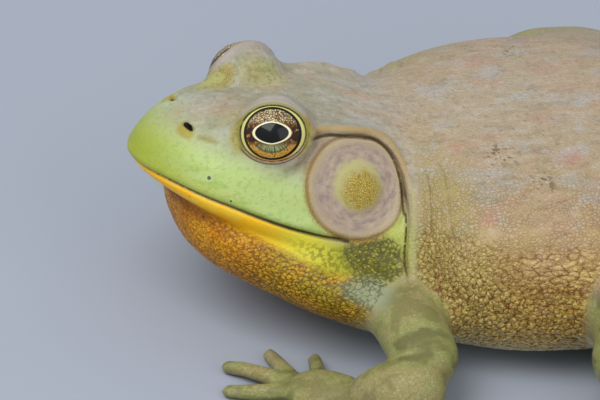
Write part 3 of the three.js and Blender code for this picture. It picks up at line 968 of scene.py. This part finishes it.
# The coats of each part of the skin, from the ground up.
ZONES = {
    "back": [
        ("#94927b", 0.9, ("from_snout", 62, 40)),
        ("#b0935f", 0.75, ("height", 52, 38), ("from_snout", 58, 68)),
        ("#b08a76", 0.4, ("flush", 0.5, 0.64), ("from_snout", 66, 84)),
        ("#b0957a", 0.6, ("wide", 0.46, 0.64)),
        # Painted sheen: pale grey-blue patches, a reflection of the sky on the wet back.
        ("#a9a59e", 0.6, ("patchy", 0.5, 0.66)),
        ("#8a7d68", 0.4, ("streak", 0.46, 0.34)),
        ("#bbb3a6", 0.35, ("streak", 0.52, 0.68)),
        ("#756850", 0.4, ("speckle", 0.56, 0.7)),
        ("#c6c0b2", 0.3, ("speckle", 0.43, 0.3)),
        ("#5d5136", 0.5, ("dots", 0.66, 0.74), ("patchy", 0.5, 0.62)),
        ("#9f9550", 0.6, ("from_snout", 84, 70), ("from_snout", 60, 66), ("height", 48, 40),
         ("speckle", 0.3, 0.55)),
        ("#7d6846", 0.7, ("fine", 0.13, 0.02), ("height", 48, 39), ("from_snout", 58, 68),
         ("patchy", 0.32, 0.52)),
    ],
    "flank": [
        ("#a07c2c", 0.9, ("height", 36, 20)),
        ("#c29c7e", 0.5, ("wide", 0.46, 0.6), ("height", 26, 34)),
        ("#bb8a66", 0.35, ("flush", 0.52, 0.66)),
        ("#a39a58", 0.8, ("from_snout", 88, 72), ("height", 48, 40), ("speckle", 0.3, 0.55)),
        # Painted highlight: pale yellow on the tops of the granules, away from the creases.
        ("#d2bb70", 0.65, ("groove", 0.25, 0), ("flank", 0.25, 0.8), ("speckle", 0.42, 0.56)),
        ("#7d6236", 0.8, ("fine", 0.14, 0.02), ("groove", 0.6, 0.1), ("patchy", 0.34, 0.54)),
        # Painted shade: brown in the creases between granules, darker low on the flank.
        ("#7a5220", 0.8, ("groove", 0.2, 0.9)),
        ("#643c12", 0.7, ("groove", 0.3, 0.9), ("height", 36, 22)),
    ],
    "cheek": [
        ("#a6a988", 0.8, ("above", 7, 13)),
        ("#b9cb8c", 0.5, ("patchy", 0.44, 0.62)),
        ("#93ae4c", 0.5, ("streak", 0.5, 0.66), ("above", 9, 3)),
        ("lip", 0.95, ("from_snout", 15, 0), ("above", 13, 6)),
        ("#a5ab3a", 0.6, ("above", 4.5, 1.5), ("from_snout", 30, 12)),
        # Painted shadow under the overhang of the upper lip, stronger towards the rear.
        ("#7c8a2e", 0.6, ("above", 1.6, 0.3), ("from_snout", 8, 20)),
        ("#b3b257", 0.7, ("from_snout", 38, 46)),
        ("#8f9c4c", 0.35, ("speckle", 0.52, 0.64)),
    ],
    "limb": [
        ("#9c8a5e", 0.7, ("wide", 0.45, 0.6)),
        ("#a5a272", 0.6, ("speckle", 0.48, 0.66)),
        ("#5d5a34", 0.8, ("wide", 0.46, 0.38), ("patchy", 0.36, 0.52)),
        ("#66633a", 0.5, ("patchy", 0.5, 0.62)),
        ("#a3937a", 0.9, ("height", 22, 34)),
        ("#77703f", 0.5, ("fine", 0.14, 0.02)),
    ],
    "throat": [
        ("#9c9420", 0.9, ("from_snout", 20, 38), ("above", -24, -9)),
        ("#e2a720", 0.5, ("patchy", 0.46, 0.6)),
        # Painted shadow: red-brown under the jaw band at the front, in the shade of the chin.
        ("#8a3f08", 0.8, ("above", -5.2, -6.4), ("above", -10, -7.5), ("from_snout", 22, 12)),
        ("#7a480c", 0.6, ("stripes", 0.14, 0.02)),
        ("#6b3d08", 0.5, ("groove", 0.2, 1)),
        ("#4f3c0c", 0.55, ("groove", 0.2, 0.9), ("from_snout", 16, 30)),
        ("#a5a268", 1, ("from_snout", 46, 58)),
    ],
    "jaw": [
        # Painted highlight: pale yellow streaks along the middle of the jaw band.
        ("#f4cf3c", 0.65, ("streak", 0.44, 0.6), ("above", -4.2, -2.2)),
        ("#cfc538", 1, ("from_snout", 22, 38)),
        ("#a0a02a", 1, ("from_snout", 36, 48)),
        ("#75701c", 0.75, ("speckle", 0.47, 0.57), ("from_snout", 30, 42), ("above", -1.2, -2.6)),
        # Painted shade: deeper orange at the lower edge of the band, towards the front.
        ("#b86c0c", 0.7, ("above", -3.6, -5.4), ("from_snout", 30, 16)),
        ("#b6b59a", 0.5, ("above", -1.6, -0.5), ("from_snout", 38, 46)),
    ],
}

# Where each part of the skin shows, over the back.
BODY_COATS = [
    ("flank", 1, ("flank", 0, 0.8)),
    ("cheek", 1, ("cheek", 0, 1)),
    ("limb", 1, ("limb", 0, 1)),
    ("throat", 1, ("throat", 0, 1)),
    ("jaw", 1, ("throat", 0, 1), ("above", -6.4, -4.6), ("from_snout", 52, 46)),
    ("belly", 1, ("underside", 0, 1)),
    ("web", 1, ("web", 0, 1)),
    # Behind the corner of the mouth: a dark net, and pale cells below it.
    ("#96932c", 0.9, ("dark_patch", 0, 0.75)),
    ("#565110", 0.8, ("dark_patch", 0.05, 0.85), ("fine", 0.24, 0.06), ("patchy", 0.34, 0.5)),
    ("#443f0c", 0.65, ("dark_patch", 0.2, 1), ("speckle", 0.44, 0.6)),
    ("#8e967a", 0.8, ("pale_patch", 0, 0.95)),
    ("#4f4c2a", 0.75, ("dark_patch", 0.05, 0.4), ("groove", 0.2, 0.7)),
    ("#5f6648", 0.8, ("pale_patch", 0.1, 0.5), ("groove", 0.3, 0.9)),
]

# Soft reddish spots on the back: place in the body plan, and size.
BLUSHES = [
    [(18, 76.7, 45.6), 3.6], [(14.5, 72, 45), 2.6], [(38.3, 79.7, 38.5), 3.2],
    [(25.6, 102, 44.7), 4], [(-19.6, 88, 45.7), 4.5], [(-14, 101, 46), 5], [(41, 66, 27), 1.6],
]
BLUSH_COATS = [("#b27a6c", 0.5, ("far_off", 1.2, 0.1), ("streak", 0.34, 0.56))]

# Clusters of dark freckles.
FRECKLES = [[(22.5, 85.2, 45.2), 5], [(31.5, 94, 43.2), 4], [(-24, 96, 44), 5]]
FRECKLE_COATS = [("#5e4c34", 0.75, ("far_off", 1.2, 0.1), ("speckle", 0.53, 0.62))]

# Dark specks on the lips and throat. The largest of the upper lip has a pale ring.
SPECKS = [
    [(17.5, 14.1, 32.6), 0.5], [(21.7, 19, 29.4), 0.3], [(15.5, 11.6, 26.4), 0.22],
    [(19.1, 16.3, 26.9), 0.25], [(14.2, 16.3, 20.6), 0.6],
]
SPECK_COATS = [("#4a4038", 0.9, ("far_off", 1.2, 0.6))]
RING_COATS = [("#b9c48c", 0.6, ("far_off", 2.2, 1.4))]

# The eardrum: a mauve ring with darker streaks round a granular golden middle.
EAR_COATS = [
    ("eardrum", 1, ("radius", 12, 11.5)),
    ("#b5a193", 0.6, ("radius", 12, 11), ("ear_streaks", 0.52, 0.62)),
    ("#8a7876", 0.65, ("radius", 10.6, 9), ("radius", 5.2, 6.8), ("ear_streaks", 0.5, 0.38)),
    ("#ad9c78", 0.7, ("radius", 9.8, 10.5), ("radius", 11.8, 11.4)),
    ("#a87e2c", 0.75, ("radius", 11, 11.6), ("radius", 13.4, 12.4), ("ear_front", 2, -6),
     ("finest", 0.16, 0.08)),
    ("#7d6336", 0.7, ("radius", 11.4, 11.8), ("radius", 12.5, 12.1)),
    ("#b3ad72", 0.95, ("halo", 8.2, 6)),
    ("#b09636", 0.85, ("core", 7.2, 3.8)),
    ("#d6c064", 0.5, ("core", 6.6, 4), ("finest", 0.16, 0.3)),
    ("#6f5518", 0.7, ("core", 7.2, 4.2), ("finest", 0.15, 0.03)),
]
HALO_CENTRE = (0.1, 0.6, 0)
CORE_CENTRE = (1.0, -0.6, 0)
RAGGEDNESS = 2.6  # how uneven the edges of both are, in millimetres
STREAKS_ROUND = 4.2  # more gives more streaks round the ear

FEATURE_COATS = [
    # The fold of skin and its creases.
    ("#ab8f58", 0.8, ("fold", 0.25, 0.9), ("ear_up", 0, 6)),
    ("#a9a26c", 0.75, ("fold", 0.2, 0.9), ("ear_up", 5, -1)),
    ("#54411f", 0.7, ("crease", 0.4, 1)),
    ("#54411f", 0.8, ("crease", 0.22, 0.8), ("ear_back", 16.5, 14.5)),
    # Olive skin round each eye, and a pale mauve brow over it.
    ("#9f9340", 0.85, ("lid", 3.4, 0.8), ("eye_up", 6, 2.5), ("eye_up", -6, -3)),
    ("#7b6428", 0.6, ("lid", 2.2, 0.8), ("eye_up", 5, 2), ("eye_up", -4, -1),
     ("speckle", 0.46, 0.58)),
    ("#a6a09a", 0.6, ("lid", 4.5, 2.6), ("eye_up", 3, 5)),
    ("#ad9186", 0.5, ("lid", 2.2, 1.5), ("lid", 0.7, 1.1), ("eye_up", 2.5, 4.5)),
    # The lids' edges: olive, pink on the lower lid, and a painted shadow line where they touch the
    # eye.
    ("#8d8a3c", 0.8, ("lid", 1, 0.5)),
    ("#ab8578", 0.8, ("lid", 0.6, 0.4), ("eye_up", -2.5, -4)),
    ("#4a3c22", 0.8, ("lid", 0.95, 0.75), ("lid", 0.45, 0.65), ("eye_up", -2, -4)),
    # Painted shadow: a thin dark line in the gap between lid and eyeball.
    ("#3a2c16", 1, ("lid", 0.14, 0.02)),
    # The mouth's line is a shadow, finer and paler in front.
    ("#4a3c16", 0.7, ("mouth_line", 0.35, 0.1)),
    ("#3a3012", 0.9, ("mouth_line", 0.6, 0.15), ("from_snout", 16, 34)),
    # The nostrils, with an ochre rim below and a crease behind.
    ("#a2922c", 0.85, ("nostril_rim", 1.4, 0.7)),
    ("#928442", 0.6, ("nostril_crease", 1.2, 0.2)),
    ("#665728", 0.6, ("nostril_crease", 0.45, 0.1)),
    # Painted shade: the slit near black, for the dark inside of the opening.
    ("#1d1410", 1, ("nostril", 1.05, 0.8)),
    # Golden-green skin with a brown net on the inner side of the domes of the eyes.
    ("#a8a65c", 0.9, ("dome", 0, 0.7)),
    ("#94682c", 0.7, ("dome", 0.15, 0.8), ("finest", 0.24, 0.05), ("patchy", 0.44, 0.54)),
    ("#85805a", 0.6, ("dome", 0, 0.4), ("speckle", 0.5, 0.6)),
]

# Soft clouds of noise: size in millimetres, detail, and how far they are drawn out lengthwise.
CLOUDS = {
    "wide": (11, 3, 1.5), "patchy": (5, 4, 1.8), "flush": (6.5, 3, 1.3), "streak": (2.2, 3, 2.6),
    "speckle": (0.9, 3, 1.3), "dots": (0.5, 2, 1), "ragged": (1.6, 2, 1),
}
# Creases between small uneven granules: their size and how far they are drawn out. On the head
# they are twice as wide as real ones, which would be too fine to show.
PEBBLES = {"fine": (0.8, 1.3), "finest": (0.48, 1), "stripes": (1, 2.2)}
PEBBLE_WAVES = 0.4  # waves that bend the creases, for each granule
GRAIN_HEIGHT = 0.16
SMOOTH_GRAIN = 0.35  # share of that height on smooth skin


def add_patterns(painter, place):
    """Adds the fields of noise and of creases between granules."""
    tree = painter.tree
    for name, (size, detail, length) in CLOUDS.items():
        drawn = add(tree, "Mapping", {"Vector": place, "Scale": (1, 1 / length, 1)})
        painter.fields[name] = add(tree, "TexNoise", {
            "Vector": drawn, "Scale": 1 / (size * MM), "Detail": detail,
        })
    for name, (size, length) in PEBBLES.items():
        waves = add(tree, "TexNoise", {
            "Vector": place, "Scale": PEBBLE_WAVES / (size * MM), "Detail": 1,
        })
        shift = add(tree, "VectorMath", {
            0: waves.outputs["Color"], "Scale": size * MM,
        }, operation="SCALE")
        bent = add(tree, "VectorMath", {0: place, 1: shift}, operation="ADD")
        drawn = add(tree, "Mapping", {"Vector": bent, "Scale": (1, 1 / length, 1)})
        painter.fields[name] = add(tree, "TexVoronoi", {
            "Vector": drawn, "Scale": 1 / (size * MM),
        }, feature="DISTANCE_TO_EDGE")


def add_ear_fields(painter):
    """Adds the fields that the eardrum's coats keep to."""
    tree, fields = painter.tree, painter.fields
    back, up = fields["ear_back"], fields["ear_up"]
    ear = add(tree, "CombineXYZ", {"X": back, "Y": up})
    radius = add(tree, "VectorMath", {0: ear}, operation="LENGTH").outputs["Value"]
    for name, centre in (("halo", HALO_CENTRE), ("core", CORE_CENTRE)):
        off = add(tree, "VectorMath", {0: ear, 1: centre}, operation="DISTANCE")
        fields[name] = add(tree, "Math", {
            0: fields["ragged"], 1: RAGGEDNESS, 2: off.outputs["Value"],
        }, operation="MULTIPLY_ADD")
    angle = add(tree, "Math", {0: up, 1: back}, operation="ARCTAN2")
    turn = add(tree, "Math", {0: angle, 1: STREAKS_ROUND}, operation="MULTIPLY")
    polar = add(tree, "CombineXYZ", {"X": turn, "Y": radius})  # outwards in millimetres
    fields["radius"] = radius
    fields["ear_streaks"] = add(tree, "TexNoise", {"Vector": polar, "Scale": 0.9, "Detail": 4})
    fields["ear_front"] = add(tree, "Math", {0: up, 1: back}, operation="ADD")


def skin_material(look, marks):
    """Wet frog skin: thin, glandular leather that is pebbled low on the flanks and throat and
    smooth on the head. Its colour lies in soft layers with darker creases, and a film of water
    gives it small soft highlights. Some light and shade is painted into the colour: highlights on
    the flank granules and the jaw band, and shade in the flank creases, under the upper lip and
    the jaw, at the lids' edges and in the nostrils."""
    material, tree = new_material("wet_frog_skin")
    place = add(tree, "TexCoord").outputs["Object"]
    painter = Painter(tree, look)
    fields = painter.fields
    for name in marks:
        fields[name] = add(tree, "Attribute", attribute_name=name).outputs["Fac"]
    add_patterns(painter, place)
    add_ear_fields(painter)

    for zone, coats in ZONES.items():
        painter.paints[zone] = painter.coated(painter.paints[zone], coats)
    colour = painter.coated(painter.paints["back"], BODY_COATS)
    colour = painter.spotted(colour, place, BLUSHES, BLUSH_COATS)
    colour = painter.spotted(colour, place, FRECKLES, FRECKLE_COATS)
    colour = painter.coated(colour, EAR_COATS + FEATURE_COATS)
    colour = painter.spotted(colour, place, SPECKS[:1], RING_COATS)
    colour = painter.spotted(colour, place, SPECKS, SPECK_COATS)

    smooth_head = painter.share(1, ("from_snout", 66, 50), ("above", -5.5, -4))
    smooth_skin = add(tree, "Math", {0: smooth_head, 1: fields["limb"]}, operation="MAXIMUM")
    low_grain = add(tree, "Math", {
        0: painter.share(1, ("finest", 0, 0.3)), 1: SMOOTH_GRAIN,
    }, operation="MULTIPLY")
    grain = add(tree, "Mix", {0: smooth_skin, 2: painter.share(1, ("fine", 0, 0.3)), 3: low_grain})
    relief = add(tree, "Bump", {"Height": grain, "Strength": 0.8, "Distance": GRAIN_HEIGHT * MM})
    dullness = add(tree, "MapRange", {
        "Value": fields["speckle"], "From Min": 0.3, "From Max": 0.7,
        "To Min": 0.36, "To Max": 0.5,
    })
    shader = add(tree, "BsdfPrincipled", {
        "Base Color": colour, "Roughness": dullness, "Normal": relief, "IOR": 1.4,
        "Specular IOR Level": 0.25, "Coat Weight": 0.12, "Coat Roughness": 0.25,
        "Subsurface Weight": 0.1, "Subsurface Radius": (0.0018, 0.0009, 0.0005),
        "Subsurface Scale": 1.0,
    })
    add(tree, "OutputMaterial", {"Surface": shader})
    return material


def oval(tree, x, y, wide, high, lift=0.0, power=2.0):
    """1 on the edge of an oval of this width and height, less inside and more outside. A power
    under 2 gives it pointed ends."""
    across = add(tree, "Math", {0: x, 1: wide / 2}, operation="DIVIDE")
    across = add(tree, "Math", {0: across}, operation="ABSOLUTE")
    across = add(tree, "Math", {0: across, 1: power}, operation="POWER")
    upward = add(tree, "Math", {0: y, 1: lift}, operation="SUBTRACT")
    upward = add(tree, "Math", {0: upward, 1: high / 2}, operation="DIVIDE")
    upward = add(tree, "Math", {0: upward, 1: upward}, operation="MULTIPLY")
    total = add(tree, "Math", {0: across, 1: upward}, operation="ADD")
    return add(tree, "Math", {0: total, 1: 0.5}, operation="POWER")


# Parts of the iris: above the pupil, below it, beside it, towards the rim, and towards the pupil.
ABOVE = ("up", 0.2, 1.6)
BELOW = ("up", -0.2, -1.0)
BESIDE = (("off_level", 3.2, 1.4), ("pupil", 1.1, 1.2))
OUTER = ("iris", 0.66, 0.76)
INNER = ("iris", 0.8, 0.68)
EYE_COATS = [
    ("#dcc796", 0.95, ("cloud", 0.3, 0.48), ABOVE),
    ("#cf9a3a", 1, BELOW, OUTER),
    ("#979c68", 1, BELOW, INNER),
    ("#2a2c20", 0.85, BELOW, INNER, ("spokes", 0.48, 0.58)),
    ("#3c2710", 0.6, BELOW, ("iris", 0.65, 0.7), ("iris", 0.77, 0.72)),
    ("#1c120c", 0.95, ("net", 0.17, 0.05), ABOVE),
    ("#38271a", 0.75, ("fine", 0.5, 0.58), ABOVE),
    ("#40290f", 0.75, ("fine", 0.53, 0.6), BELOW, OUTER),
    ("#b8762a", 0.8, *BESIDE),
    ("#1c0f0a", 0.95, ("cloud", 0.35, 0.43), *BESIDE),
    ("#1c100c", 0.9, ("fine", 0.5, 0.56), *BESIDE),
    # The pale ring, the pupil, the iris's black rim, and the eye outside it.
    ("rim", 1, ("pupil", 1.15, 1.11)),
    ("pupil", 1, ("pupil", 1.04, 1)),
    ("#0c0907", 1, ("iris", 0.91, 0.94)),
    ("white", 1, ("iris", 1, 1.03)),
    ("#c98f34", 0.8, ("iris", 0.98, 1.03), ("up", -4, -5.8)),
    ("#a99a3c", 0.5, ("iris", 1.1, 1.2)),
]
PUPIL_LIFT = 0.15
PUPIL_POINT = 1.55  # under 2, so that the pupil's ends are pointed
SPOKES_ROUND = 7  # more gives more spokes round the iris


def eye_material(look, name, side):
    """A living eye: a gilded iris with a dark net and a level oval pupil under a wet, glassy
    cornea, which gives one sharp highlight."""
    material, tree = new_material("frog_eye_" + name)
    frame_of_eye = eye_frame(side)
    turn = frame_of_eye.to_3x3().inverted().to_euler()
    place = add(tree, "TexCoord").outputs["Object"]
    centred = add(tree, "VectorMath", {0: place, 1: frame_of_eye.translation}, operation="SUBTRACT")
    local = add(tree, "Mapping", {"Vector": centred, "Rotation": turn})
    flat = add(tree, "VectorMath", {0: local, "Scale": 1 / MM}, operation="SCALE")
    split = add(tree, "SeparateXYZ", {0: flat})
    x, y = split.outputs["X"], split.outputs["Y"]

    iris = oval(tree, x, y, look.iris_width / MM, look.iris_height / MM)
    pupil = oval(
        tree, x, y, look.pupil_width / MM, look.pupil_height / MM, PUPIL_LIFT, PUPIL_POINT)
    angle = add(tree, "Math", {0: y, 1: x}, operation="ARCTAN2")
    turns = add(tree, "Math", {0: angle, 1: SPOKES_ROUND}, operation="MULTIPLY")
    wheel = add(tree, "CombineXYZ", {"X": turns, "Y": iris})
    painter = Painter(tree, look)
    # Each pattern's scale is how many of its cells go in a millimetre.
    painter.fields.update({
        "up": y, "iris": iris, "pupil": pupil,
        "off_level": add(tree, "Math", {0: y}, operation="ABSOLUTE"),
        "spokes": add(tree, "TexNoise", {"Vector": wheel, "Scale": 1.9, "Detail": 3}),
        "cloud": add(tree, "TexNoise", {"Vector": flat, "Scale": 0.9, "Detail": 4}),
        "fine": add(tree, "TexNoise", {"Vector": flat, "Scale": 3.2, "Detail": 3}),
        "net": add(tree, "TexVoronoi", {
            "Vector": flat, "Scale": 1.8,
        }, feature="DISTANCE_TO_EDGE"),
    })
    shader = add(tree, "BsdfPrincipled", {
        "Base Color": painter.coated(look.gold, EYE_COATS), "Roughness": 0.35, "IOR": 1.38,
        "Specular IOR Level": 0.15, "Coat Weight": 0.6, "Coat Roughness": 0.02, "Coat IOR": 1.4,
    })
    add(tree, "OutputMaterial", {"Surface": shader})
    return material


def floor_material(look):
    """A board under matt paint: even in colour, with no gloss."""
    material, tree = new_material("matt_paint")
    shader = add(tree, "BsdfPrincipled", {"Base Color": look.floor, "Roughness": 0.9})
    add(tree, "OutputMaterial", {"Surface": shader})
    return material


# ---- Floor, light and camera --------------------------------------------------------------

LENS = 422.4  # long, because the camera stands far off
SENSOR = 36
CLOSEST, FARTHEST = 0.05, 20  # what the camera shows, in metres
SKY_COLOUR = "#e3e8ee"
LOOKED_AT = PLAN_ORIGIN + [8.0, 2.4, 44.1]  # just over the mouth's front
FRAMED = {"right": 39.09, "down": 11.01}  # from there to the middle of the picture
FLOOR_SIZE = 6  # metres
LAMPS = [  # name, place and size in metres
    ["key", (0.5, -0.6, 1.2), 0.9],
    ["fill", (1.2, 0.6, 0.8), 1.0],
]


def place_camera(look):
    """The camera, level but for its roll, with the frog framed to the right of its middle."""
    back = Vector((
        sin(look.azimuth) * cos(look.rise), -cos(look.azimuth) * cos(look.rise), sin(look.rise),
    ))
    level = Vector((cos(look.azimuth), sin(look.azimuth), 0))
    upright = back.cross(level)
    centre = Vector(LOOKED_AT) + level * FRAMED["right"] - upright * FRAMED["down"]
    across = level * cos(look.roll) + upright * sin(look.roll)
    upward = upright * cos(look.roll) - level * sin(look.roll)
    data = bpy.data.cameras.new("camera")
    data.lens, data.sensor_width = LENS, SENSOR
    data.clip_start, data.clip_end = CLOSEST, FARTHEST
    camera = bpy.data.objects.new("camera", data)
    turn = Matrix((across, upward, back)).transposed().to_4x4()
    camera.matrix_world = Matrix.Translation(centre * MM + back * look.distance) @ turn
    bpy.context.scene.collection.objects.link(camera)
    bpy.context.scene.camera = camera


class BULLFROG_OT_stage(bpy.types.Operator):
    """A pale floor, soft light and the camera"""

    bl_idname = "bullfrog.stage"
    bl_label = "Stage"

    def execute(self, context):
        scene, look = context.scene, context.scene.bullfrog_stage
        deselect()
        bpy.ops.mesh.primitive_plane_add(size=FLOOR_SIZE, location=(0, 0, 0))
        floor = context.object
        floor.name = "floor"
        floor.data.materials.append(floor_material(look))
        for name, place, size in LAMPS:
            light = bpy.data.lights.new(name, "AREA")
            light.size, light.energy = size, getattr(look, name)
            lamp = bpy.data.objects.new(name, light)
            lamp.location = place
            lamp.rotation_euler = (-Vector(place)).to_track_quat("-Z", "Y").to_euler()
            scene.collection.objects.link(lamp)
        scene.view_settings.view_transform = "Standard"
        scene.world = bpy.data.worlds.new("studio")
        scene.world.use_nodes = True
        sky = scene.world.node_tree.nodes["Background"]
        sky.inputs["Color"].default_value = linear(SKY_COLOUR)
        sky.inputs["Strength"].default_value = look.sky
        place_camera(look)
        return {"FINISHED"}


# ---- Panel --------------------------------------------------------------------------------

LOOKS = {"bullfrog_skin": SkinLook, "bullfrog_eyes": EyeLook, "bullfrog_stage": StageLook}


class BULLFROG_PT_sidebar(bpy.types.Panel):
    """The bullfrog's pieces and what can be changed on them"""

    bl_idname = "BULLFROG_PT_sidebar"
    bl_label = "American Bullfrog"
    bl_space_type = "VIEW_3D"
    bl_region_type = "UI"
    bl_category = "Bullfrog"

    def draw(self, context):
        for name, kind in LOOKS.items():
            box = self.layout.box()
            for choice in kind.__annotations__:
                box.prop(getattr(context.scene, name), choice)
            box.operator(name.replace("_", "."))


CLASSES = [
    SkinLook, EyeLook, StageLook, BULLFROG_OT_skin, BULLFROG_OT_eyes, BULLFROG_OT_stage,
    BULLFROG_PT_sidebar,
]


def register():
    for kind in CLASSES:
        bpy.utils.register_class(kind)
    for name, kind in LOOKS.items():
        setattr(bpy.types.Scene, name, bpy.props.PointerProperty(type=kind))


def unregister():
    for name in LOOKS:
        delattr(bpy.types.Scene, name)
    for kind in reversed(CLASSES):
        bpy.utils.unregister_class(kind)


def main():
    register()
    bpy.ops.bullfrog.skin()
    bpy.ops.bullfrog.eyes()
    bpy.ops.bullfrog.stage()


if __name__ == "__main__":
    main()
